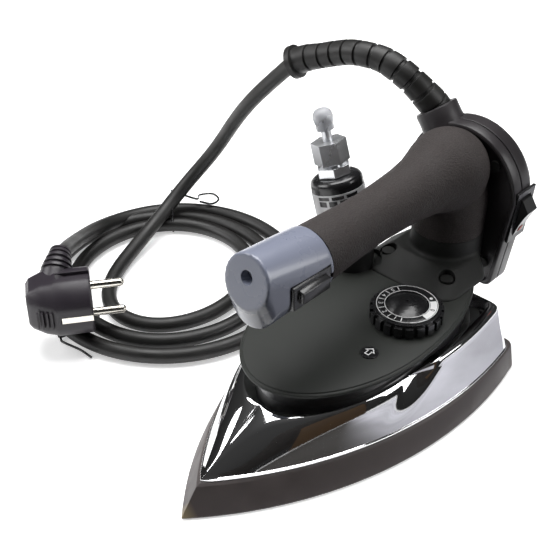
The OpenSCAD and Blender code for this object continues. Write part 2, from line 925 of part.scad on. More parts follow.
// ---- right-angled two-pin earthed plug, drawn with its pins along +X ----

plug_at = [-138.5, -41.7, 28.6];
plug_turn = 54;
plug_roll = 90;
module plugged() {
    translate(plug_at) rotate([0, 0, plug_turn]) rotate([plug_roll, 0, 0]) children();
}

pin_gap = 19;
pin_r = 2.4;
pin_len = 19;
plug_r = 19;
plug_depth = 36;
plug_flat = 18;       // half width across the two flats beside the pins
strip_w = 4.4;
sleeve_tilt = 142;    // turn of the cord's sleeve away from the pins' row, degrees
sleeve_lean = 9;      // and its lean toward the pins, degrees
module plug_body() {
    color([0.2, 0.19, 0.22])
    plugged() {
        difference() {
            intersection() {
                rotate([0, -90, 0]) cylinder(r = plug_r, h = plug_depth);
                translate([-plug_depth - 1, -plug_flat, -plug_flat - 0.5])
                    cube([plug_depth + 2, 2 * plug_flat, 2 * plug_flat + 1]);
            }
            // slots for the earth strips, and the two guide grooves
            for (s = [-1, 1])
                translate([-30, -strip_w / 2, s * plug_flat - 1]) cube([32, strip_w, 2]);
            for (s = [-1, 1])
                translate([-26, s * plug_flat - 1.5, -2.5]) cube([28, 3, 5]);
        }
        translate([-20, 0, 0])
            rotate([-sleeve_tilt, 0, 0])
                rotate([0, sleeve_lean, 0]) cylinder(r1 = 8.6, r2 = 6.6, h = 27);
    }
}

module plug_pins() {
    color([0.82, 0.8, 0.76])
    plugged()
        for (s = [-1, 1])
            translate([0, s * pin_gap / 2, 0])
                rotate([0, 90, 0]) cylinder(r = pin_r, h = pin_len);
}

module plug_earth_strips() {
    color([0.82, 0.8, 0.76])
    plugged()
        for (s = [-1, 1])
            translate([-24, -strip_w / 2 + 0.2, s * (plug_flat - 0.6) - 0.4])
                cube([24, strip_w - 0.4, 0.8]);
}

module twist_ties() {
    color([0.05, 0.05, 0.05])
    for (a = [137, -95])
        translate([coil_at[0], coil_at[1], 0])
            rotate([0, 0, a])
                translate([coil_outer + 0.1, -1.2, 0.2]) cube([1.4, 2.4, coil_h - 0.4]);
}

soleplate();
heating_element();
steam_chamber_lid();
insulation_sheet();
thermal_fuse();
chrome_cover();
under_body();
heat_shield();
pointer_badge();
thermostat_body();
thermostat_spindle();
dial();
dial_scale_ring();
dial_cap();
steam_pipe();
valve_block();
solenoid_case();
solenoid_coil();
solenoid_label();
solenoid_plunger();
plunger_spring();
inlet_stem();
lock_nut();
compression_nut();
inlet_tube();
dust_cap();
handle_base();
saddle_screws();
handle_core();
handle_grip();
nose_cap();
cap_screw();
steam_button();
microswitch();
handle_leads();
housing_front();
housing_rear();
housing_screws();
terminal_block();
rocker_bezel();
rocker();
cord_clamp();
strain_relief();
cord_lead();
cord_coil();
cord_tail();
plug_body();
plug_pins();
plug_earth_strips();
twist_ties();
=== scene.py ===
"""Looks of a boiler-fed steam hand iron with its solenoid valve, coiled mains cord and plug.

Lengths in the builders below are millimetres and are turned into metres when a mesh is made.
The frame is the CAD's: origin on the sole's underside, nose toward -Y, +Z up.
"""

import json
import math

import bmesh
import bpy
from mathutils import Matrix, Vector


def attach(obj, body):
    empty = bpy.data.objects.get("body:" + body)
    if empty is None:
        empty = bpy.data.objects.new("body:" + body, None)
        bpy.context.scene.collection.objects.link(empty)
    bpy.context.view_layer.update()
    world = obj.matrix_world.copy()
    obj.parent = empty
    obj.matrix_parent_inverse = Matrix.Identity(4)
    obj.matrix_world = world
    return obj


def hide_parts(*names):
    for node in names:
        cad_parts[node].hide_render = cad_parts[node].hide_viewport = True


MM = 0.001
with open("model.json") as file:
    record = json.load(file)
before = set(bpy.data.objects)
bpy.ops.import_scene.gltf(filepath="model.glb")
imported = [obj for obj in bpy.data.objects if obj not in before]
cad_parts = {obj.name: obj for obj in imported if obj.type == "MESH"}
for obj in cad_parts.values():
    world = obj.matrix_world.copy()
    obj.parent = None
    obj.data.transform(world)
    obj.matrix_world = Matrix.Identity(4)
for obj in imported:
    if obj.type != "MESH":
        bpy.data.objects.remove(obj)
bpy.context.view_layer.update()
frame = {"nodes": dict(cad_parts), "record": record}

# ---------------------------------------------------------------- camera


def make_camera():
    data = bpy.data.cameras.new("camera")
    data.sensor_width = 36.0
    data.lens = 71.9
    data.clip_start = 0.01
    camera = bpy.data.objects.new("camera", data)
    bpy.context.scene.collection.objects.link(camera)
    camera.location = (0.2849, -0.3429, 0.4121)
    camera.rotation_euler = (math.radians(53.93), 0.0, math.radians(42.69))
    bpy.context.scene.camera = camera


make_camera()

# ---------------------------------------------------------------- mesh helpers


def smooth_path(points, parts=8):
    """Catmull-Rom curve through the points, with parts short lines between neighbours."""
    pts = [Vector(p) for p in points]
    out = []
    for i in range(len(pts) - 1):
        a = pts[max(i - 1, 0)]
        b = pts[i]
        c = pts[i + 1]
        d = pts[min(i + 2, len(pts) - 1)]
        for k in range(parts):
            t = k / parts
            out.append(0.5 * ((2 * b) + (c - a) * t + (2 * a - 5 * b + 4 * c - d) * t * t
                              + (3 * b - a - 3 * c + d) * t * t * t))
    out.append(pts[-1])
    return out


def path_length(points):
    return sum((b - a).length for a, b in zip(points, points[1:]))


def loft(rings, cap_start=True, cap_end=True, closed=True):
    """Faces between rings of equal length. Returns vertices and faces."""
    n = len(rings[0])
    verts = [tuple(p) for ring in rings for p in ring]
    faces = []
    for i in range(len(rings) - 1):
        for k in range(n if closed else n - 1):
            a = i * n + k
            b = i * n + (k + 1) % n
            faces.append((a, b, b + n, a + n))
    if cap_start:
        faces.append(tuple(range(n))[::-1])
    if cap_end:
        faces.append(tuple(range((len(rings) - 1) * n, len(rings) * n)))
    return verts, faces


def merge(*parts):
    """Joins (vertices, faces) pairs into one."""
    verts = []
    faces = []
    for part_verts, part_faces in parts:
        start = len(verts)
        verts.extend(part_verts)
        faces.extend(tuple(start + i for i in f) for f in part_faces)
    return verts, faces


def moved(part, place):
    return [tuple(place(Vector(v))) for v in part[0]], part[1]


def revolve(profile, sides=64):
    """A solid of revolution about local Z from (radius, height) pairs."""
    rings = []
    for r, h in profile:
        r = max(r, 0.01)
        rings.append([(r * math.cos(2 * math.pi * k / sides), r * math.sin(2 * math.pi * k / sides), h)
                      for k in range(sides)])
    return loft(rings)


def tube(path, radius, sides=16, caps=True):
    """A round tube along a dense path. radius is a number or a function of the distance run."""
    rings = []
    side = None
    run = 0.0
    for i, p in enumerate(path):
        ahead = (path[min(i + 1, len(path) - 1)] - path[max(i - 1, 0)]).normalized()
        if side is None:
            side = ahead.orthogonal().normalized()
        side = (side - ahead * side.dot(ahead)).normalized()
        up = ahead.cross(side)
        if i:
            run += (p - path[i - 1]).length
        r = radius(run) if callable(radius) else radius
        turns = [2 * math.pi * k / sides for k in range(sides)]
        rings.append([p + r * (math.cos(a) * side + math.sin(a) * up) for a in turns])
    return loft(rings, caps, caps)


def prism(outline, y0, y1):
    """An XZ outline pulled along Y."""
    return loft([[(x, y, z) for x, z in outline] for y in (y0, y1)])


def block(x0, x1, y0, y1, z0, z1):
    return prism([(x0, z0), (x1, z0), (x1, z1), (x0, z1)], y0, y1)


def mesh_of(name, part):
    mesh = bpy.data.meshes.new(name)
    mesh.from_pydata([(x * MM, y * MM, z * MM) for x, y, z in part[0]], [], part[1])
    tidy = bmesh.new()
    tidy.from_mesh(mesh)
    bmesh.ops.remove_doubles(tidy, verts=tidy.verts, dist=1e-6)
    bmesh.ops.recalc_face_normals(tidy, faces=tidy.faces)
    tidy.to_mesh(mesh)
    tidy.free()
    return mesh


def shade(obj, angle):
    obj.data.polygons.foreach_set("use_smooth", [True] * len(obj.data.polygons))
    obj.data.set_sharp_from_angle(angle=math.radians(angle))


def piece(name, part, material, body="iron", replaces=(), angle=35):
    """Makes a shown piece from (vertices, faces) in millimetres, or from a ready mesh."""
    mesh = part if isinstance(part, bpy.types.Mesh) else mesh_of(name, part)
    obj = bpy.data.objects.new(name, mesh)
    bpy.context.scene.collection.objects.link(obj)
    obj.data.materials.clear()
    obj.data.materials.append(material)
    shade(obj, angle)
    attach(obj, body)
    if replaces:
        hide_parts(*replaces)
    return obj


def evaluated(mesh, *steps):
    """The mesh after the given modifier steps, each a (type, settings) pair."""
    obj = bpy.data.objects.new("working", mesh)
    bpy.context.scene.collection.objects.link(obj)
    for kind, settings in steps:
        step = obj.modifiers.new(kind, kind)
        for key, value in settings.items():
            setattr(step, key, value)
    graph = bpy.context.evaluated_depsgraph_get()
    graph.update()
    result = bpy.data.meshes.new_from_object(obj.evaluated_get(graph))
    bpy.data.objects.remove(obj)
    return result


def blended(name, part, voxel, rounds):
    """One soft-edged skin over overlapping solids."""
    return evaluated(mesh_of(name, part),
                     ("REMESH", {"mode": "VOXEL", "voxel_size": voxel * MM}),
                     ("SMOOTH", {"factor": 0.5, "iterations": rounds}))


def sliced(mesh, point, normal):
    """Cuts off what lies ahead of the plane and closes the cut."""
    cut = bmesh.new()
    cut.from_mesh(mesh)
    found = bmesh.ops.bisect_plane(cut, geom=cut.verts[:] + cut.edges[:] + cut.faces[:], dist=1e-7,
                                   plane_co=Vector(point) * MM, plane_no=Vector(normal), clear_outer=True)
    edges = [e for e in found["geom_cut"] if isinstance(e, bmesh.types.BMEdge)]
    bmesh.ops.holes_fill(cut, edges=edges)
    cut.to_mesh(mesh)
    cut.free()
    return mesh


def carved(mesh, *cutters):
    """The mesh less each cutter in turn."""
    for cutter in cutters:
        holder = bpy.data.objects.new("cutter", mesh_of("cutter", cutter))
        bpy.context.scene.collection.objects.link(holder)
        mesh = evaluated(mesh, ("BOOLEAN", {"object": holder, "operation": "DIFFERENCE", "solver": "EXACT"}))
        bpy.data.objects.remove(holder)
    return mesh


def hulled(part):
    """The convex hull of the vertices."""
    hull = bmesh.new()
    for v in part[0]:
        hull.verts.new(v)
    bmesh.ops.convex_hull(hull, input=hull.verts[:])
    loose = [v for v in hull.verts if not v.link_faces]
    bmesh.ops.delete(hull, geom=loose, context="VERTS")
    hull.verts.index_update()
    out = ([tuple(v.co) for v in hull.verts], [tuple(v.index for v in f.verts) for f in hull.faces])
    hull.free()
    return out


# ---------------------------------------------------------------- materials


def surface(name, colour, rough, metallic=0.0, vary=0.12, patch=35.0, grain=1200.0, bump=0.2,
            bump_mm=0.04, edge_mm=0.35, coat=0.0, rough_vary=0.08, grain_kind="noise", specular=0.5,
            speckle=0.0):
    """A procedural finish: colour patches and flecks, roughness patches, fine grain, eased edges."""
    mat = bpy.data.materials.new(name)
    mat.use_nodes = True
    nodes = mat.node_tree.nodes
    links = mat.node_tree.links
    shader = nodes["Principled BSDF"]
    shader.inputs["Metallic"].default_value = metallic
    shader.inputs["Coat Weight"].default_value = coat
    shader.inputs["Coat Roughness"].default_value = 0.12
    shader.inputs["Specular IOR Level"].default_value = specular
    where = nodes.new("ShaderNodeTexCoord")

    patches = nodes.new("ShaderNodeTexNoise")
    patches.inputs["Scale"].default_value = patch
    patches.inputs["Detail"].default_value = 5.0
    links.new(where.outputs["Object"], patches.inputs["Vector"])
    tint = nodes.new("ShaderNodeMix")
    tint.data_type = "RGBA"
    tint.inputs[6].default_value = tuple(c * (1 - vary) for c in colour) + (1.0,)
    tint.inputs[7].default_value = tuple(min(1.0, c * (1 + vary)) for c in colour) + (1.0,)
    links.new(patches.outputs["Fac"], tint.inputs[0])
    if speckle:
        flecks = nodes.new("ShaderNodeTexNoise")
        flecks.inputs["Scale"].default_value = grain * 1.3
        links.new(where.outputs["Object"], flecks.inputs["Vector"])
        gain = nodes.new("ShaderNodeMapRange")
        gain.inputs["From Min"].default_value = 0.35
        gain.inputs["From Max"].default_value = 0.65
        gain.inputs["To Min"].default_value = 1 - speckle
        gain.inputs["To Max"].default_value = 1 + speckle
        links.new(flecks.outputs["Fac"], gain.inputs["Value"])
        flecked = nodes.new("ShaderNodeVectorMath")
        flecked.operation = "SCALE"
        links.new(tint.outputs[2], flecked.inputs[0])
        links.new(gain.outputs["Result"], flecked.inputs["Scale"])
        links.new(flecked.outputs["Vector"], shader.inputs["Base Color"])
    else:
        links.new(tint.outputs[2], shader.inputs["Base Color"])

    spread = nodes.new("ShaderNodeMapRange")
    spread.inputs["From Min"].default_value = 0.3
    spread.inputs["From Max"].default_value = 0.7
    spread.inputs["To Min"].default_value = max(0.02, rough - rough_vary)
    spread.inputs["To Max"].default_value = min(1.0, rough + rough_vary)
    links.new(patches.outputs["Fac"], spread.inputs["Value"])
    links.new(spread.outputs["Result"], shader.inputs["Roughness"])

    eased = nodes.new("ShaderNodeBevel")
    eased.samples = 4
    eased.inputs["Radius"].default_value = edge_mm * MM
    relief = nodes.new("ShaderNodeBump")
    relief.inputs["Strength"].default_value = bump
    relief.inputs["Distance"].default_value = bump_mm * MM
    links.new(eased.outputs["Normal"], relief.inputs["Normal"])
    if grain_kind == "pebble":
        grains = nodes.new("ShaderNodeTexVoronoi")
        grains.inputs["Scale"].default_value = grain
        links.new(where.outputs["Object"], grains.inputs["Vector"])
        links.new(grains.outputs["Distance"], relief.inputs["Height"])
    else:
        grains = nodes.new("ShaderNodeTexNoise")
        grains.inputs["Scale"].default_value = grain
        grains.inputs["Detail"].default_value = 3.0
        links.new(where.outputs["Object"], grains.inputs["Vector"])
        links.new(grains.outputs["Fac"], relief.inputs["Height"])
    links.new(relief.outputs["Normal"], shader.inputs["Normal"])
    return mat


def sole_finish():
    """Dark coating, turning warm and yellowish over the very nose."""
    mat = surface("sole_finish", (0.080, 0.067, 0.066), 0.5, metallic=0.1, vary=0.22, patch=60.0,
                  grain=900.0, bump=0.25, bump_mm=0.05, edge_mm=0.5)
    nodes = mat.node_tree.nodes
    links = mat.node_tree.links
    shader = nodes["Principled BSDF"]
    tint = shader.inputs["Base Color"].links[0].from_node
    where = nodes.new("ShaderNodeTexCoord")
    split = nodes.new("ShaderNodeSeparateXYZ")
    links.new(where.outputs["Object"], split.inputs["Vector"])
    near_nose = nodes.new("ShaderNodeMapRange")
    near_nose.inputs["From Min"].default_value = -0.098
    near_nose.inputs["From Max"].default_value = -0.1035
    near_nose.inputs["To Min"].default_value = 0.0
    near_nose.inputs["To Max"].default_value = 0.75
    links.new(split.outputs["Y"], near_nose.inputs["Value"])
    # warm yellowish tone blended in over the last few millimetres toward the nose tip
    nose_tint = nodes.new("ShaderNodeMix")
    nose_tint.data_type = "RGBA"
    nose_tint.inputs[7].default_value = (0.42, 0.34, 0.2, 1.0)
    links.new(near_nose.outputs["Result"], nose_tint.inputs[0])
    links.new(tint.outputs[2], nose_tint.inputs[6])
    links.new(nose_tint.outputs[2], shader.inputs["Base Color"])
    return mat


def clear_cap_finish():
    mat = surface("clear_cap", (0.72, 0.73, 0.76), 0.22, vary=0.03, bump=0.08)
    shader = mat.node_tree.nodes["Principled BSDF"]
    shader.inputs["Transmission Weight"].default_value = 0.55
    shader.inputs["IOR"].default_value = 1.45
    return mat


M = {
    "sole_coating": sole_finish(),
    "plated_cover": surface("plated_cover", (0.9, 0.9, 0.91), 0.045, metallic=1.0, vary=0.02, patch=18.0,
                            grain=60.0, bump=0.03, bump_mm=0.1, edge_mm=0.5, rough_vary=0.025),
    "skirt_black": surface("skirt_black", (0.008, 0.008, 0.0085), 0.4, vary=0.2, bump=0.2),
    "saddle_black": surface("saddle_black", (0.014, 0.0145, 0.0135), 0.6, vary=0.15, grain=1600.0, bump=0.25,
                            edge_mm=0.5, specular=0.3),
    "shield_grey": surface("shield_grey", (0.024, 0.026, 0.0235), 0.52, vary=0.1, grain=2200.0, bump=0.25,
                           bump_mm=0.03, edge_mm=0.5, specular=0.3),
    "black_gloss": surface("black_gloss", (0.012, 0.012, 0.013), 0.28, vary=0.15, bump=0.1, coat=0.2),
    "print_white": surface("print_white", (0.78, 0.78, 0.78), 0.5, vary=0.05, bump=0.05, edge_mm=0.02),
    "print_red": surface("print_red", (0.55, 0.06, 0.04), 0.45, vary=0.1, bump=0.05, edge_mm=0.02),
    "grip_foam": surface("grip_foam", (0.036, 0.030, 0.029), 0.72, vary=0.18, patch=90.0, grain=1100.0,
                         bump=1.0, bump_mm=0.3, edge_mm=0.6, grain_kind="pebble", specular=0.35, speckle=0.2),
    "cap_grey": surface("cap_grey", (0.215, 0.232, 0.30), 0.28, vary=0.05, grain=700.0, bump=0.05,
                        edge_mm=0.6, coat=0.4),
    "housing_charcoal": surface("housing_charcoal", (0.026, 0.023, 0.025), 0.36, vary=0.12, grain=1600.0,
                                bump=0.22, bump_mm=0.04, edge_mm=0.5, specular=0.4),
    "cord_rubber": surface("cord_rubber", (0.011, 0.0105, 0.010), 0.48, vary=0.25, patch=70.0, grain=800.0,
                           bump=0.18, bump_mm=0.04, edge_mm=0.3),
    "plug_plastic": surface("plug_plastic", (0.026, 0.021, 0.028), 0.42, vary=0.12, grain=1500.0, bump=0.3,
                            bump_mm=0.05, edge_mm=0.5),
    "nickel": surface("nickel", (0.72, 0.69, 0.63), 0.2, metallic=1.0, vary=0.05, bump=0.06, edge_mm=0.25),
    "nut_steel": surface("nut_steel", (0.72, 0.73, 0.75), 0.27, metallic=0.8, vary=0.05, bump=0.08,
                         edge_mm=0.35),
    "label_silver": surface("label_silver", (0.72, 0.72, 0.73), 0.38, metallic=0.2, vary=0.05, bump=0.05),
    "clear_cap": clear_cap_finish(),
    "brass": surface("brass", (0.62, 0.45, 0.2), 0.3, metallic=1.0),
    "element_steel": surface("element_steel", (0.35, 0.3, 0.26), 0.45, metallic=0.9, vary=0.2),
    "lid_aluminium": surface("lid_aluminium", (0.62, 0.62, 0.64), 0.4, metallic=0.9),
    "mica": surface("mica", (0.62, 0.57, 0.46), 0.7, vary=0.2),
    "ceramic": surface("ceramic", (0.78, 0.75, 0.68), 0.55, vary=0.06),
    "copper": surface("copper", (0.6, 0.27, 0.12), 0.35, metallic=0.9, grain=2500.0, bump=0.4),
    "inner_plastic": surface("inner_plastic", (0.03, 0.03, 0.03), 0.5),
    "lead_red": surface("lead_red", (0.4, 0.06, 0.04), 0.5),
}


def finish_cad_nodes():
    """Gives every CAD node its own slot's finish."""
    slots = {entry["node"]: entry["material_slot"] for entry in frame["record"]["subparts"]}
    for node, obj in frame["nodes"].items():
        obj.data.materials.clear()
        obj.data.materials.append(M[slots[node]])
        obj.data.polygons.foreach_set("use_smooth", [True] * len(obj.data.polygons))
        obj.data.set_sharp_from_angle(angle=math.radians(32))


# ---------------------------------------------------------------- cord, strain relief, ties and plug

CORD_D = 9.2
COIL_AT = Vector((-146.0, 26.0, 0.0))
FLOOR_Z = CORD_D / 2 + 0.1
RELIEF_PATH = [
    (-19.5, 119, 121), (-25, 119, 128.5), (-31, 115, 136.5), (-38, 112, 143), (-47, 110, 148),
    (-56, 109, 150.5), (-66, 107, 151), (-76, 106, 149.5), (-86, 105, 146), (-95, 103, 142.5),
    (-104, 101, 139), (-112, 98.5, 134.5),
]
LEAD_PATH = [
    (-109, 99.5, 136.5), (-112, 98.5, 134.5), (-127, 99, 119), (-140, 95, 105), (-150, 97, 93),
    (-160, 98, 81), (-170, 99, 66), (-178, 99, 53), (-187, 96, 40), (-192.5, 91, 32), (-195.5, 83, 24.5),
]
TAIL_PATH = [
    (-218, 34, 8), (-212, 19, 13.5), (-203, 4, 20), (-193, -10, 27), (-183, -22, 34.5),
    (-174.5, -32, 40.5), (-166, -40.5, 44),
]
# Radius of the coil at each turned angle in degrees, from under the lead to the start of the tail
COIL_LINE = [
    (137, 68), (145, 58), (154, 49), (167, 42), (183, 38), (205, 36), (225, 38), (245, 43), (270, 51),
    (300, 53), (335, 48), (371, 46), (410, 50), (450, 56), (497, 61.5), (580, 62), (625, 65), (660, 66),
    (700, 64), (740, 62), (800, 66), (857, 70), (900, 75), (985, 78.5), (1217, 78.5), (1240, 78),
]
# Height of the cord's centre over the first stretch, where it comes down across the tied strands
COIL_DROP = [(137, 16), (145, 13), (154, 10), (167, 7), (183, FLOOR_Z)]


def between(table, at):
    for (a, va), (b, vb) in zip(table, table[1:]):
        if at <= b:
            t = (at - a) / (b - a)
            t = t * t * (3 - 2 * t)
            return va + (vb - va) * t
    return table[-1][1]


def coil_point(turned):
    r = between(COIL_LINE, turned)
    a = math.radians(turned)
    z = between(COIL_DROP, turned) if turned < 183 else FLOOR_Z
    return COIL_AT + Vector((r * math.cos(a), r * math.sin(a), z))


def evened(path, step):
    """The path again as points a steady step apart."""
    out = [path[0]]
    left = step
    for a, b in zip(path, path[1:]):
        span = (b - a).length
        at = left
        while at <= span:
            out.append(a.lerp(b, at / span))
            at += step
        left = at - span
    return out + [path[-1]]


def relaxed(path, rounds):
    """The path with small kinks ironed out and both ends left alone."""
    for _ in range(rounds):
        path = (path[:2] + [0.25 * a + 0.5 * b + 0.25 * c for a, b, c in zip(path[1:], path[2:], path[3:])]
                + path[-1:])
    return path


def cord_route():
    turns = [coil_point(t) for t in range(137, 1241, 8)]
    return relaxed(evened(smooth_path(LEAD_PATH + turns + TAIL_PATH, 6), 4.0), 30)


def make_cord():
    route = cord_route()
    data = bpy.data.curves.new("mains_cord", "CURVE")
    data.dimensions = "3D"
    data.bevel_depth = CORD_D / 2 * MM
    data.bevel_resolution = 6
    data.use_fill_caps = True
    line = data.splines.new("POLY")
    line.points.add(len(route) - 1)
    for point, p in zip(line.points, route):
        point.co = (p.x * MM, p.y * MM, p.z * MM, 1.0)
    cord = bpy.data.objects.new("mains_cord", data)
    bpy.context.scene.collection.objects.link(cord)
    data.materials.append(M["cord_rubber"])
    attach(cord, "iron")
    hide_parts("cord_lead", "cord_coil", "cord_tail")
    return cord, path_length(route) * MM, route


cord, cord_length, route = make_cord()


def make_strain_relief():
    """Bent rubber sleeve: ring grooves along it and a flanged mouth."""
    path = smooth_path(RELIEF_PATH, 24)
    total = path_length(path)
    first = 12.0
    pitch = (total - first - 5.0) / 11

    def radius(run):
        body = between([(0, 8.7), (10, 8.7), (32, 7.7), (60, 7.1), (90, 7.15), (total - 8, 7.7),
                        (total, 8.0)], run)
        if run > total - 3.6:
            return 9.7
        if first < run < total - 5:
            inside = (run - first) % pitch
            if inside < 1.7:
                return body - 1.1
        return body

    sleeve = tube(path, radius, 40)
    return piece("strain_relief_sleeve", sleeve, M["cord_rubber"],
                 replaces=("strain_relief",), angle=50)


def make_ties():
    """Two black wire ties: a loop round the strands with twisted ends."""
    wire = 0.75
    parts = []
    eyelet = [(-192, 80, 20), (-188, 88, 15), (-194, 96, 12), (-190, 104, 11), (-182, 102, 11),
              (-181, 95, 11), (-187, 89, 13)]
    stray_end = [(-145, -52, 9), (-150, -53, 4), (-154, -55, 2), (-151, -58, 1), (-147, -58, 1),
                 (-136, -56, 1), (-126, -56, 1)]
    low = 56.5
    for turned, high, top, ends in ((137, 82.0, 21.5, eyelet), (-95, 83.0, 9.4, stray_end)):
        a = math.radians(turned)
        out = Vector((math.cos(a), math.sin(a), 0.0))
        corners = [(low, wire + 0.1), (high - 2, wire + 0.1), (high + 0.6, 4.0), (high - 2, top - 6),
                   ((low + high) / 2 + 4, top), (low + 3, top - 5), (low - 0.4, 4.0), (low, wire + 0.1)]
        loop = [COIL_AT + out * r + Vector((0, 0, z)) for r, z in corners]
        parts.append(tube(smooth_path(loop, 5), wire, 8))
        parts.append(tube(smooth_path(ends, 6), wire, 8))
    return piece("wire_ties", merge(*parts), M["black_gloss"], replaces=("twist_ties",))


PIN_R = 2.4
PIN_LENGTH = 19
PIN_GAP = 19
PLUG_AT = Vector((-138.5, -41.7, 28.6))
PLUG_TURN = Matrix.Rotation(math.radians(54), 4, "Z") @ Matrix.Rotation(math.radians(90), 4, "X")


def plugged(v):
    return PLUG_AT + PLUG_TURN @ v


def plug_ring(x, r, flat, squeeze=1.0, shift=0.0, sides=72):
    """Round outline with two flats, in the plug's own frame with the pins along +X."""
    ring = []
    for k in range(sides):
        a = 2 * math.pi * k / sides
        y = max(-flat, min(flat, r * math.cos(a)))
        z = max(-flat, min(flat, r * math.sin(a)))
        ring.append((x, y * squeeze + shift, z))
    return ring


def make_plug():
    body = loft([
        plug_ring(0, 17.6, 17.4), plug_ring(-0.9, 18.9, 17.9), plug_ring(-20, 19, 18),
        plug_ring(-21.2, 18.4, 17.4), plug_ring(-27, 17.2, 15.5, 1.04, 1.0),
        plug_ring(-34, 13.5, 11.5, 1.1, 1.5), plug_ring(-36, 11, 9, 1.1, 1.5)])
    skin = mesh_of("plug", moved(body, plugged))
    cutters = []
    for s in (-1, 1):
        cutters.append(moved(block(-19, 3, s * 17.8 - 1.9, s * 17.8 + 1.9, -2.7, 2.7), plugged))
        cutters.append(moved(block(-18, 3, -2.1, 2.1, s * 18 - 1.4, s * 18 + 1.4), plugged))
    # shallow dish in the front face that leaves a rim
    dish = moved(revolve([(15.5, -1.2), (16.2, 3)], 48), lambda v: plugged(Vector((v.z, v.x, v.y))))
    skin = carved(skin, dish, *cutters)
    shell = piece("plug_shell", skin, M["plug_plastic"], replaces=("plug_body",), angle=30)
    sleeve_path = smooth_path([plugged(Vector((-21, 5, -3))), (-156.5, -52.5, 38.5), (-160, -48, 42),
                               (-163.5, -43.5, 44.5), (-167.5, -39, 45.5)], 16)
    total = path_length(sleeve_path)

    def radius(run):
        body_r = between([(0, 10.5), (total * 0.4, 9.2), (total, 6.4)], run)
        if total * 0.45 < run < total - 1.5 and (run - total * 0.45) % 3.1 < 1.2:
            return body_r - 1.3
        return body_r

    sleeve = piece("plug_sleeve", tube(sleeve_path, radius, 36), M["plug_plastic"], angle=50)
    lines = [moved(block(-31 + 2.6 * i, -30.1 + 2.6 * i, -5, 6, 14.8 + 0.5 * i, 16.4 + 0.5 * i), plugged)
             for i in range(4)]
    ridges = piece("plug_grip_lines", merge(*lines), M["plug_plastic"])
    tip = [(PIN_R * math.sin(math.radians(t)), PIN_LENGTH - PIN_R + PIN_R * math.cos(math.radians(t)))
           for t in range(90, -1, -15)]
    pin = revolve([(PIN_R, -1.0)] + tip, 32)
    pins = []
    for shift in (-PIN_GAP / 2, PIN_GAP / 2):
        pins.append(moved(pin, lambda v, shift=shift: plugged(Vector((v.z, v.x + shift, v.y)))))
    pins = piece("plug_pin_pair", merge(*pins), M["nickel"], replaces=("plug_pins",))
    strips = []
    for s in (-1, 1):
        strips.append(moved(block(-17.5, -0.2, -1.9, 1.9, s * 17.6 - 0.5, s * 17.6 + 0.5), plugged))
    strips = piece("plug_earth_contacts", merge(*strips), M["nickel"],
                   replaces=("plug_earth_strips",))
    return [shell, sleeve, ridges, pins, strips]


relief = make_strain_relief()
ties = make_ties()
plug_pieces = make_plug()

# ---------------------------------------------------------------- sole and cover


def ogive_half(r, reach, yc, y):
    return math.sqrt(max(r * r - (y - yc) ** 2, 0.0)) - (r - reach)


def half_outline(r, reach, yc, start, heel, corner, steps=60):
    """One side of the pointed outline from y = start back to the centre of the heel."""
    tip = yc - math.sqrt(r * r - (r - reach) ** 2)
    begin = max(start, tip)
    side = []
    for i in range(steps + 1):
        y = begin + (heel - corner - begin) * (i / steps) ** 1.2
        side.append((max(ogive_half(r, reach, yc, y), 0.0), y))
    w = side[-1][0]
    bends = [math.radians(a) for a in range(15, 91, 15)]
    turn = [(w - corner + corner * math.cos(a), heel - corner + corner * math.sin(a)) for a in bends]
    return side + turn + [(w * 0.4, heel), (0.0, heel)]


def both_sides(half):
    """The half outline and its mirror image, sharing any point on the centre line."""
    last = 0 if half[0][0] < 1e-6 else None
    return half + [(-x, y) for x, y in half[-2:last:-1]]


def level(outline, z):
    return [(x, y, z) for x, y in outline]


SOLE_R = 222.0
SOLE_REACH = 60.5


def make_sole():
    def ring(inset, yc, heel, z):
        return level(both_sides(half_outline(SOLE_R - inset, SOLE_REACH - inset, yc, -200, heel, 6)), z)

    body = loft([ring(1.2, 48.4, 103.3, 0.0), ring(0.3, 48.1, 103.9, 0.5), ring(0.1, 48, 104, 1.5),
                 ring(3.2, 54, 102.7, 14.6), ring(3.6, 55, 102.4, 15.4), ring(4.1, 55.4, 102.0, 15.8),
                 ring(4.8, 55.8, 101.4, 16.0)])
    vents = []
    for row in (-1, 0, 1):
        for i in range(7):
            at = Vector((row * (8 + 2 * i), -5 + 10 * i, 0))
            vents.append(moved(revolve([(1.7, -1), (1.3, 0.6), (1.3, 5)], 20), lambda v, at=at: v + at))
    return piece("sole", carved(mesh_of("sole", body), *vents), M["sole_coating"],
                 replaces=("soleplate",), angle=24)


def egg_half(a, front, rear, yc, heel, steps=44):
    end = math.asin(min(1.0, (heel - yc) / rear))
    pts = [(a * math.cos(math.radians(t)), yc + front * math.sin(math.radians(t)))
           for t in [-90 + 90 * i / steps for i in range(steps + 1)]]
    pts += [(a * math.cos(end * k / 12), yc + rear * math.sin(end * k / 12)) for k in range(1, 13)]
    return pts


def resampled(points, count, bias=1.0):
    """Points spread evenly along a line, closer together at its start when bias is over 1."""
    runs = [0.0]
    for a, b in zip(points, points[1:]):
        runs.append(runs[-1] + math.dist(a, b))
    out = []
    k = 0
    for i in range(count):
        want = runs[-1] * (i / (count - 1)) ** bias
        while k < len(runs) - 2 and runs[k + 1] < want:
            k += 1
        t = (want - runs[k]) / max(runs[k + 1] - runs[k], 1e-9)
        out.append(tuple(a + (b - a) * min(t, 1.0) for a, b in zip(points[k], points[k + 1])))
    return out


COVER_R = 217.0
COVER_REACH = 55.5
COVER_Y = 55
DECK_Y = 25
DECK_Z = 38.0
RIM_Z = 42.0


def eased_step(t):
    t = max(0.0, min(1.0, t))
    return t * t * (3 - 2 * t)


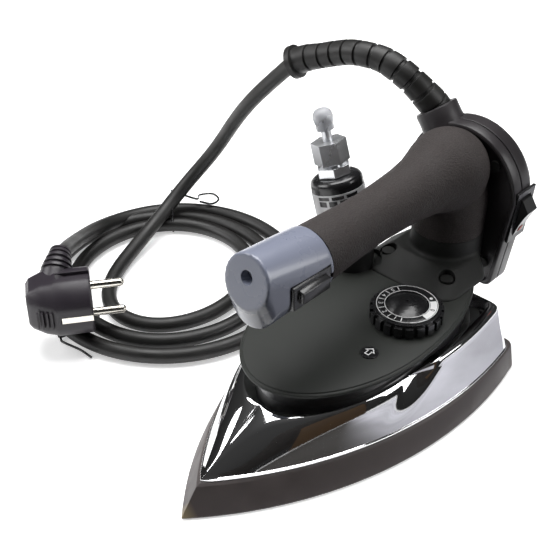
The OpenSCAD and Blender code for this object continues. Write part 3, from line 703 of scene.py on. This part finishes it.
def make_cover():
    """Plated cover in one skin: an egg-topped prow, a soft crease, and a steeper stern with a raised rim."""
    count = 130
    split_y = 40.0
    base = [p for p in half_outline(COVER_R, COVER_REACH, COVER_Y, -200, 98, 7, 120) if p[1] < split_y]
    base = resampled(base, count, 1.1)
    deck = resampled([p for p in egg_half(41, 74, 160, DECK_Y, 60) if p[1] < split_y], count)

    def full_ring(lift, inset, crease_y, z, shrink=0.0, flange=0.0):
        """One closed ring: the prow morphs from base to deck by lift, then meets the stern at crease_y."""
        half = []
        for i in range(count):
            along = i / (count - 1)
            bulge = 0.55 * math.sin(math.pi * min(along * 1.15, 1.0)) ** 0.8
            g = (1 - bulge) * lift + bulge * (1 - math.sqrt(max(1 - lift * lift, 0.0)))
            x = base[i][0] + (deck[i][0] - base[i][0]) * g
            y = base[i][1] + (deck[i][1] - base[i][1]) * g
            x = x * (1 - shrink) + flange * min(1.0, i / 6)
            y = DECK_Y + (y - DECK_Y) * (1 - shrink) - 0.6 * (flange > 0) * (1 - along)
            s = eased_step((y - crease_y + 5) / 24)
            stern_x = ogive_half(COVER_R - inset, COVER_REACH - inset, COVER_Y, y)
            height = z if z <= DECK_Z else DECK_Z + (z - DECK_Z) * s
            half.append((x + (stern_x - x) * s if i else 0.0, y, height))
        tail = [p for p in half_outline(COVER_R - inset, COVER_REACH - inset, COVER_Y, split_y,
                                        98 - inset * 0.45, max(7 - inset * 0.3, 3), 40)
                if p[1] > split_y + 0.5]
        half += [(x, y, z) for x, y in resampled(tail, 50)]
        return [(-x, y, h) for x, y, h in half[:0:-1]][1:] + half

    rings = [full_ring(0, -0.7, -12, 16.0, flange=0.7), full_ring(0, -0.7, -12, 17.0, flange=0.7),
             full_ring(0, 0, -11, 17.3)]
    levels = 26
    for j in range(1, levels + 1):
        h = math.sin(math.pi / 2 * j / levels)
        rings.append(full_ring(h, 6.0 * h, -11 + 30 * h ** 1.1, 17.3 + (DECK_Z - 17.3) * h))
    for inset, z, shrink in ((6.7, 40.4, 0.008), (7.6, 41.6, 0.016), (8.6, RIM_Z, 0.024), (12.4, RIM_Z, 0.07),
                             (13, 41.4, 0.08), (13, DECK_Z, 0.09)):
        rings.append(full_ring(1, inset, 18 + 0.4 * (inset - 6), z, shrink))
    skin = loft(rings, cap_start=False, cap_end=True)
    return piece("cover", skin, M["plated_cover"], replaces=("chrome_cover",), angle=30)


def make_skirt():
    """Black body between cover and shield, with its foot flaring down over the cover's front."""
    def ring(a, front, rear, z, heel=97, drop=0.0):
        half = egg_half(a, front, rear, 25, heel)
        pts = half + [(-x, y) for x, y in half[::-1]][:-1]
        return [(x, y, z - drop * max(0.0, min(1.0, (10 - y) / 45))) for x, y in pts]

    body = loft([ring(39.5, 71.5, 92, 38.0, drop=4.5), ring(39.4, 71, 92, 38.9, drop=4.4),
                 ring(38.2, 67.2, 91, 39.6, drop=3.6), ring(37.6, 66, 90, 42, drop=0.8),
                 ring(37.5, 66, 90, 49)])
    return piece("skirt", body, M["skirt_black"], replaces=("under_body",), angle=35)


def make_shield():
    def ring(inset, z):
        half = egg_half(46 - inset, 74 - inset, 85 - inset, 25, 104 - inset, 60)
        pts = half + [(-x, y) for x, y in half[::-1]][:-1]
        return level(pts, z)

    plate = loft([ring(1.5, 49), ring(0.4, 49.1), ring(0, 49.5), ring(0, 50.6), ring(0.5, 51.1),
                  ring(1.3, 51.2), ring(1.6, 51.9), ring(2.1, 52.0)])
    return piece("shield", plate, M["shield_grey"], replaces=("heat_shield",), angle=40)


make_sole()
make_cover()
make_skirt()
make_shield()

# ---------------------------------------------------------------- handle

VALVE_AT = Vector((-33, 61, 58))
VALVE_LEAN = Matrix.Rotation(math.radians(-17.5), 4, "Y")


def on_valve(v):
    return VALVE_AT + VALVE_LEAN @ v


GRIP_Z = 109.0
POST_Y = 103.5
FACE_Y = 113.2
ELBOW_Y = 97.5
ELBOW_R = 22.6


def make_grip():
    def along_y(profile):
        return moved(revolve(profile, 64), lambda v: Vector((v.x, v.z, GRIP_Z - v.y)))

    barrel = [(15.6, -22), (15.6, -14), (14.9, 0), (14, 16), (13.6, 32), (14.3, 48), (15.2, 62), (17, 75),
              (19.6, 84), (21.1, 88.5)]
    elbow = [(ELBOW_R * math.sin(math.radians(t)), ELBOW_Y + ELBOW_R * math.cos(math.radians(t)))
             for t in range(106, 0, -8)]
    post = [(20, 60), (20, 71), (20.1, 80), (20.4, 90), (19.6, 98), (16.5, 106), (11, 111)]
    upright = moved(revolve(post, 64), lambda v: v + Vector((0, POST_Y, 0)))
    mesh = blended("grip", merge(along_y(barrel + elbow), upright), 1.1, 10)
    ends = (((0, -13.6, 0), (0, -1, 0)), ((0, FACE_Y, 0), (0, 1, 0)), ((0, 0, 71.5), (0, 0, -1)))
    for point, normal in ends:
        mesh = sliced(mesh, point, normal)
    return piece("grip", mesh, M["grip_foam"], replaces=("handle_grip",), angle=40)


def make_saddle():
    """Foot of the handle: a mound that runs out over the shield, with two screw wells."""
    def slab(half_x, y0, y1, corner, z):
        pts = []
        for cx, cy, first in ((half_x, y1, 0), (-half_x, y1, 90), (-half_x, y0, 180), (half_x, y0, 270)):
            for a in range(first, first + 91, 15):
                pts.append((math.copysign(abs(cx) - corner, cx) + corner * math.cos(math.radians(a)),
                            cy + (corner if cy == y0 else -corner) + corner * math.sin(math.radians(a)), z))
        return pts

    mound = hulled((slab(32, 61, 106, 12, 50) + slab(31, 62, 106, 12, 53) + slab(21, 80, 110, 8, 60.5), []))
    post = moved(revolve([(20, 50), (20, 74)], 64), lambda v: v + Vector((0, POST_Y, 0)))
    mesh = blended("saddle", merge(mound, post), 0.9, 8)
    ends = (((0, FACE_Y, 0), (0, 1, 0)), ((0, 0, 71.3), (0, 0, 1)), ((0, 0, 52.1), (0, 0, -1)))
    for point, normal in ends:
        mesh = sliced(mesh, point, normal)
    well = revolve([(4.6, 54.9), (4.6, 75)], 32)
    wells = [moved(well, lambda v, x=x: v + Vector((x, 77, 0))) for x in (-20, 20)]
    foot = moved(revolve([(12.8, 50), (12.8, 80)], 48), lambda v: v + Vector((VALVE_AT.x, VALVE_AT.y, 0)))
    case = moved(revolve([(15.4, -8), (15.4, 50)], 48), on_valve)
    return piece("saddle", carved(mesh, *wells, foot, case), M["saddle_black"],
                 replaces=("handle_base",), angle=40)


def disc(centre, r, lean, sides=64):
    """A ring of points facing -Y, leaned back by lean degrees."""
    up = Vector((0, math.sin(math.radians(lean)), math.cos(math.radians(lean))))
    return [tuple(Vector(centre) + Vector((r * math.cos(2 * math.pi * k / sides), 0, 0))
                  + up * r * math.sin(2 * math.pi * k / sides)) for k in range(sides)]


def make_nose_cap():
    points = (disc((0, -14, GRIP_Z), 16.4, 0) + disc((0, -22, GRIP_Z), 16.5, 0)
              + disc((0, -56.5, GRIP_Z + 8), 13.6, 13.5) + disc((0, -51.8, GRIP_Z - 4.5), 14.2, 13.5))
    mesh = blended("cap", hulled((points, [])), 0.7, 8)
    mesh = sliced(mesh, (0, -14.7, 0), (0, 1, 0))
    hole = moved(revolve([(3.5, 0), (3.5, 30)], 32), lambda v: Vector((v.x, -70 + v.z, GRIP_Z + 10 + v.y)))
    pocket = block(10, 24, -43, -16.5, 100, 113.5)
    notch = block(8, 24, -17.5, -10, 105, 108.5)
    mesh = carved(mesh, hole, pocket, notch)
    return piece("end_cap", mesh, M["cap_grey"], replaces=("nose_cap",), angle=40)


def make_button():
    plate = block(13.5, 16.4, -42.7, -16.8, 100.3, 113.2)
    bar = prism([(16, 103.2), (18.9, 104), (19.2, 109.6), (16, 110.8)], -39, -20)
    skin = evaluated(mesh_of("button", merge(plate, bar)),
                     ("BEVEL", {"width": 0.6 * MM, "segments": 3}))
    return piece("button", skin, M["black_gloss"], body="steam_button",
                 replaces=("steam_button",), angle=50)


make_grip()
make_saddle()
make_nose_cap()
make_button()

# ---------------------------------------------------------------- rear housing

ARCH_R = 35.0
ARCH_Z = 94.0
GLAND_TILT = math.radians(36)
ROCKER_AT = Vector((32.2, 121.3, 84.5))
SIDE_SLOPE = Matrix.Rotation(math.radians(6), 4, "Y")


def on_rocker(v):
    return ROCKER_AT + SIDE_SLOPE @ v


def arch(inset, y):
    """Outline of the housing: a half circle above, sides closing in to a rounded foot."""
    wide = ARCH_R - inset
    turns = [math.radians(a) for a in range(0, 181, 4)]
    pts = [(wide * math.cos(a), ARCH_Z + wide * math.sin(a)) for a in turns]
    foot_x = 27 - inset
    low = 36 + inset
    r = 5.0
    for a in range(180, 271, 15):
        pts.append((-foot_x + r + r * math.cos(math.radians(a)), low + r + r * math.sin(math.radians(a))))
    for a in range(270, 361, 15):
        pts.append((foot_x - r + r * math.cos(math.radians(a)), low + r + r * math.sin(math.radians(a))))
    return [(x, y, z) for x, z in pts]


def on_gland(v):
    turn = Matrix.Rotation(-GLAND_TILT, 4, "Y")
    return Vector((0, 119, ARCH_Z)) + turn @ v


def make_housing():
    front = loft([arch(0.3, 118.3), arch(0, 118.0), arch(0, 112.4), arch(0.25, 111.8), arch(0.8, 111.5),
                  arch(2.0, 111.5), arch(2.4, 111.8), arch(2.6, 113.5)])
    rear = loft([arch(0.3, 118.9), arch(0, 119.2), arch(0, 125.5), arch(0.5, 127.6), arch(1.7, 129.1),
                 arch(3.4, 129.9), arch(5.5, 130)])
    slot = moved(block(-9, 6, -5.9, 5.9, -13.7, 13.7), on_rocker)
    seat = moved(block(0.9, 6, -8.2, 8.2, -16, 16), on_rocker)
    holes = [moved(revolve([(1.5, 0), (1.5, 1.8)], 20), lambda v, x=x, z=z: Vector((x, 110.5 + v.z, z + v.y)))
             for x, z in ((-20, 112), (20, 112), (-20, 50), (20, 50))]
    front_mesh = carved(mesh_of("front", front), slot, seat, *holes)
    rear_mesh = carved(mesh_of("rear", rear), slot, seat)
    piece("switch_shell_front", front_mesh, M["housing_charcoal"],
          replaces=("housing_front",), angle=30)
    piece("switch_shell_rear", rear_mesh, M["housing_charcoal"],
          replaces=("housing_rear",), angle=30)
    ring = [(12.6, 31), (12.2, 34), (12.0, 36), (12, 42.2), (11.6, 42.9), (9.6, 43), (9.1, 42.6), (9, 36)]
    collar = revolve(ring, 56)
    piece("gland_collar", moved(collar, on_gland), M["housing_charcoal"], angle=35)


make_housing()

# ---------------------------------------------------------------- dial, badge and label marks

DIAL_AT = Vector((20.5, 41.0, 0.0))
DIAL_TOP = 60.6


def arc_band(r0, r1, a0, a1, z, thick=0.12, steps=None):
    steps = steps or max(6, int(abs(a1 - a0) / 4))
    rings = []
    for k in range(steps + 1):
        a = math.radians(a0 + (a1 - a0) * k / steps)
        c = math.cos(a)
        s = math.sin(a)
        rings.append([(r0 * c, r0 * s, z), (r1 * c, r1 * s, z),
                      (r1 * c, r1 * s, z + thick), (r0 * c, r0 * s, z + thick)])
    return loft(rings)


def glyph(text, size):
    """Flat outline mesh of a numeral, in millimetres, centred on its own origin."""
    data = bpy.data.curves.new("glyph", "FONT")
    data.body = text
    data.size = size
    data.extrude = 0.05
    data.align_x = "CENTER"
    data.align_y = "CENTER"
    holder = bpy.data.objects.new("glyph", data)
    bpy.context.scene.collection.objects.link(holder)
    graph = bpy.context.evaluated_depsgraph_get()
    graph.update()
    mesh = bpy.data.meshes.new_from_object(holder.evaluated_get(graph))
    out = ([tuple(v.co) for v in mesh.vertices], [tuple(p.vertices) for p in mesh.polygons])
    bpy.data.objects.remove(holder)
    return out


def around_dial(part, angle, r, z):
    a = math.radians(angle)
    turn = Matrix.Rotation(a + math.pi / 2, 4, "Z")
    return moved(part, lambda v: DIAL_AT + Vector((r * math.cos(a), r * math.sin(a), z)) + turn @ v)


def make_dial_marks():
    def at_dial(part):
        return moved(part, lambda v: v + DIAL_AT)

    section = [(16.3, 60), (16.3, 60.4), (15.9, 60.55), (11.4, 60.55), (11.2, 60.4), (11.2, 60)]
    band = at_dial(revolve(section, 72))
    piece("dial_band", band, M["black_gloss"], body="dial_knob")
    marks = [at_dial(arc_band(15.75, 16.1, 0, 360, DIAL_TOP, steps=96)),
             at_dial(arc_band(11.5, 11.85, 0, 360, DIAL_TOP, steps=96)),
             at_dial(arc_band(12.1, 15.5, -13, 51, DIAL_TOP))]
    for number, angle in ((5, 161), (4, 189), (3, 218), (2, 250), (1, 281)):
        marks.append(around_dial(glyph(str(number), 3.6), angle, 13.8, DIAL_TOP + 0.05))
    for angle in (147, 175, 203, 234, 266, 295):
        marks.append(at_dial(arc_band(12.2, 15.4, angle - 0.9, angle + 0.9, DIAL_TOP)))
    marks.append(moved(revolve([(0.9, 0), (0.9, 0.12)], 20),
                       lambda v: v + DIAL_AT + Vector((13.7 * math.cos(math.radians(62)),
                                                       13.7 * math.sin(math.radians(62)), DIAL_TOP))))
    piece("dial_marks", merge(*marks), M["print_white"], body="dial_knob",
          replaces=("dial_scale_ring",))
    zero = around_dial(glyph("0", 3.4), 19, 13.8, DIAL_TOP + 0.16)
    piece("dial_zero", zero, M["black_gloss"], body="dial_knob")


def make_badge_marks():
    arrow = [(0, 3.4), (-3.1, 0.3), (-1.4, 0.3), (-1.4, -2.7), (1.4, -2.7), (1.4, 0.3), (3.1, 0.3)]
    inner = [(0, 2.5), (-1.9, 0.8), (-0.9, 0.8), (-0.9, -2.1), (0.9, -2.1), (0.9, 0.8), (1.9, 0.8)]
    z = 52.95
    rings = [[(x, y, z) for x, y in arrow], [(x, y, z + 0.15) for x, y in arrow],
             [(x, y, z + 0.15) for x, y in inner], [(x, y, z) for x, y in inner]]
    outline = loft(rings, cap_start=False, cap_end=False)
    piece("badge_arrow", moved(outline, lambda v: v + Vector((25, 5, 0))), M["print_white"])


def make_label_marks():
    """Plain dark bars where a rating label carries its print."""
    rows = ((37.2, 1.9, 3), (33.6, 3.0, 4), (28.5, 1.2, 6), (25.8, 1.2, 5))
    bars = []
    for z, tall, count in rows:
        for i in range(count):
            start = -95 + i * (96 / count)
            bars.append(moved(arc_band(14.76, 14.82, start, start + 96 / count - 6, z, tall), on_valve))
    piece("label_marks", merge(*bars), M["black_gloss"])


def make_dust_cap():
    """Soft clear cap with a rounded end, hollow over the inlet tube."""
    profile = [(0.3, 82.2), (2.9, 82), (2.9, 72.5), (4.7, 72.5), (4.9, 74), (4.75, 75.5), (5.3, 77.5),
               (5.5, 79.5), (5.1, 81.8), (3.9, 83.4), (2.2, 84.2), (0.3, 84.4)]
    piece("clear_cap", moved(revolve(profile, 48), on_valve), M["clear_cap"],
          body="inlet_dust_cap", replaces=("dust_cap",), angle=50)


def make_rocker_mark():
    low = [(3.35, -10.4), (4.15, -7.2), (4.4, -7.25), (3.6, -10.45)]
    piece("rocker_mark", moved(prism(low, -1.6, 1.6), on_rocker), M["print_red"],
          body="power_rocker")


make_dial_marks()
make_badge_marks()
make_label_marks()
make_dust_cap()
make_rocker_mark()
finish_cad_nodes()
# The screws beside the handle get the saddle's black finish
for node in ("housing_screws", "saddle_screws"):
    frame["nodes"][node].data.materials[0] = M["saddle_black"]

# ---------------------------------------------------------------- studio


def plain(name, colour, rough):
    return surface(name, colour, rough, vary=0.01, bump=0.02)


def make_floor():
    floor = bpy.data.objects.new("floor", mesh_of("floor", block(-3000, 3000, -3000, 3000, -10, -0.3)))
    bpy.context.scene.collection.objects.link(floor)
    white = plain("floor_white", (0.93, 0.93, 0.93), 0.75)
    white.node_tree.nodes["Principled BSDF"].inputs["Emission Color"].default_value = (1.0, 1.0, 1.0, 1.0)
    white.node_tree.nodes["Principled BSDF"].inputs["Emission Strength"].default_value = 0.45
    floor.data.materials.append(white)
    floor.visible_diffuse = False


def make_card(name, centre, wide, tall, colour, vary=0.01, patch=35.0, flat=False):
    """A card facing the iron, or lying flat beside it, that is only seen in reflections."""
    at = Vector(centre) * MM
    facing = (Vector((0, 20, 40)) * MM - at).to_track_quat("Z", "Y")
    corners = [(-wide / 2, -tall / 2), (wide / 2, -tall / 2), (wide / 2, tall / 2), (-wide / 2, tall / 2)]
    mesh = mesh_of(name, loft([level(corners, 0), level(corners, -2)]))
    card = bpy.data.objects.new(name, mesh)
    bpy.context.scene.collection.objects.link(card)
    card.location = at
    if not flat:
        card.rotation_euler = facing.to_euler()
    card.data.materials.append(surface(name, colour, 0.9, vary=vary, patch=patch, bump=0.02))
    card.visible_camera = False
    card.visible_diffuse = False
    card.visible_shadow = False


def make_floor_card():
    """Flat card beside the iron that gives the plated sides a floor that darkens toward the nose."""
    make_card("floor_card", (500, 0, 0.3), 860, 1000, (0.44, 0.44, 0.48), vary=0.75, patch=10.0, flat=True)
    mat = bpy.data.materials["floor_card"]
    nodes = mat.node_tree.nodes
    links = mat.node_tree.links
    shader = nodes["Principled BSDF"]
    tint = shader.inputs["Base Color"].links[0].from_node
    where = nodes.new("ShaderNodeTexCoord")
    split = nodes.new("ShaderNodeSeparateXYZ")
    links.new(where.outputs["Object"], split.inputs["Vector"])
    fade = nodes.new("ShaderNodeMapRange")
    fade.interpolation_type = "SMOOTHSTEP"
    fade.inputs["From Min"].default_value = 0.06
    fade.inputs["From Max"].default_value = -0.04
    links.new(split.outputs["Y"], fade.inputs["Value"])
    faded = nodes.new("ShaderNodeMix")
    faded.data_type = "RGBA"
    faded.inputs[7].default_value = (0.02, 0.018, 0.016, 1.0)
    links.new(fade.outputs["Result"], faded.inputs[0])
    links.new(tint.outputs[2], faded.inputs[6])
    links.new(faded.outputs[2], shader.inputs["Base Color"])


def make_light(name, centre, size, watts):
    data = bpy.data.lights.new(name, "AREA")
    data.shape = "RECTANGLE"
    data.size = size[0]
    data.size_y = size[1]
    data.energy = watts
    light = bpy.data.objects.new(name, data)
    bpy.context.scene.collection.objects.link(light)
    light.location = centre
    light.rotation_euler = (Vector((-0.03, 0.03, 0.05)) - Vector(centre)).to_track_quat("-Z", "Y").to_euler()


def make_studio():
    world = bpy.data.worlds.new("studio")
    bpy.context.scene.world = world
    world.use_nodes = True
    nodes = world.node_tree.nodes
    links = world.node_tree.links
    where = nodes.new("ShaderNodeTexCoord")
    split = nodes.new("ShaderNodeSeparateXYZ")
    links.new(where.outputs["Generated"], split.inputs["Vector"])
    sky = nodes.new("ShaderNodeMapRange")
    sky.inputs["From Min"].default_value = 0.0
    sky.inputs["From Max"].default_value = 0.9
    sky.inputs["To Min"].default_value = 0.35
    sky.inputs["To Max"].default_value = 0.8
    links.new(split.outputs["Z"], sky.inputs["Value"])
    overhead = nodes.new("ShaderNodeVectorMath")
    overhead.operation = "DOT_PRODUCT"
    overhead.inputs[1].default_value = Vector((-0.25, 0.2, 1.1)).normalized()
    links.new(where.outputs["Generated"], overhead.inputs[0])
    softbox = nodes.new("ShaderNodeMapRange")
    softbox.interpolation_type = "SMOOTHSTEP"
    softbox.inputs["From Min"].default_value = 0.78
    softbox.inputs["From Max"].default_value = 0.95
    softbox.inputs["To Max"].default_value = 0.8
    links.new(overhead.outputs["Value"], softbox.inputs["Value"])
    both = nodes.new("ShaderNodeMath")
    links.new(sky.outputs["Result"], both.inputs[0])
    links.new(softbox.outputs["Result"], both.inputs[1])
    links.new(both.outputs["Value"], nodes["Background"].inputs["Strength"])
    nodes["Background"].inputs["Color"].default_value = (0.05, 0.05, 0.05, 1.0)
    backdrop = nodes.new("ShaderNodeBackground")
    backdrop.inputs["Color"].default_value = (1.0, 1.0, 1.0, 1.0)
    rays = nodes.new("ShaderNodeLightPath")
    chosen = nodes.new("ShaderNodeMixShader")
    links.new(rays.outputs["Is Camera Ray"], chosen.inputs["Fac"])
    links.new(nodes["Background"].outputs["Background"], chosen.inputs[1])
    links.new(backdrop.outputs["Background"], chosen.inputs[2])
    links.new(chosen.outputs["Shader"], nodes["World Output"].inputs["Surface"])
    make_floor()
    make_light("top_softbox", (-0.25, 0.2, 1.1), (1.0, 0.8), 17.0)
    make_light("left_softbox", (-0.9, -0.7, 0.8), (0.7, 0.7), 8.5)
    make_light("right_softbox", (0.8, 0.5, 0.5), (0.4, 0.6), 4.0)
    make_card("dark_card_side", (520, -150, 291), 600, 440, (0.012, 0.010, 0.009))
    make_card("brown_card", (425, -75, 140), 290, 250, (0.055, 0.030, 0.012), vary=0.5, patch=7.0)
    make_card("pale_card", (-60, -620, 220), 420, 300, (0.55, 0.55, 0.58), vary=0.4, patch=8.0)
    make_floor_card()
    bpy.context.scene.view_settings.view_transform = "Standard"


make_studio()
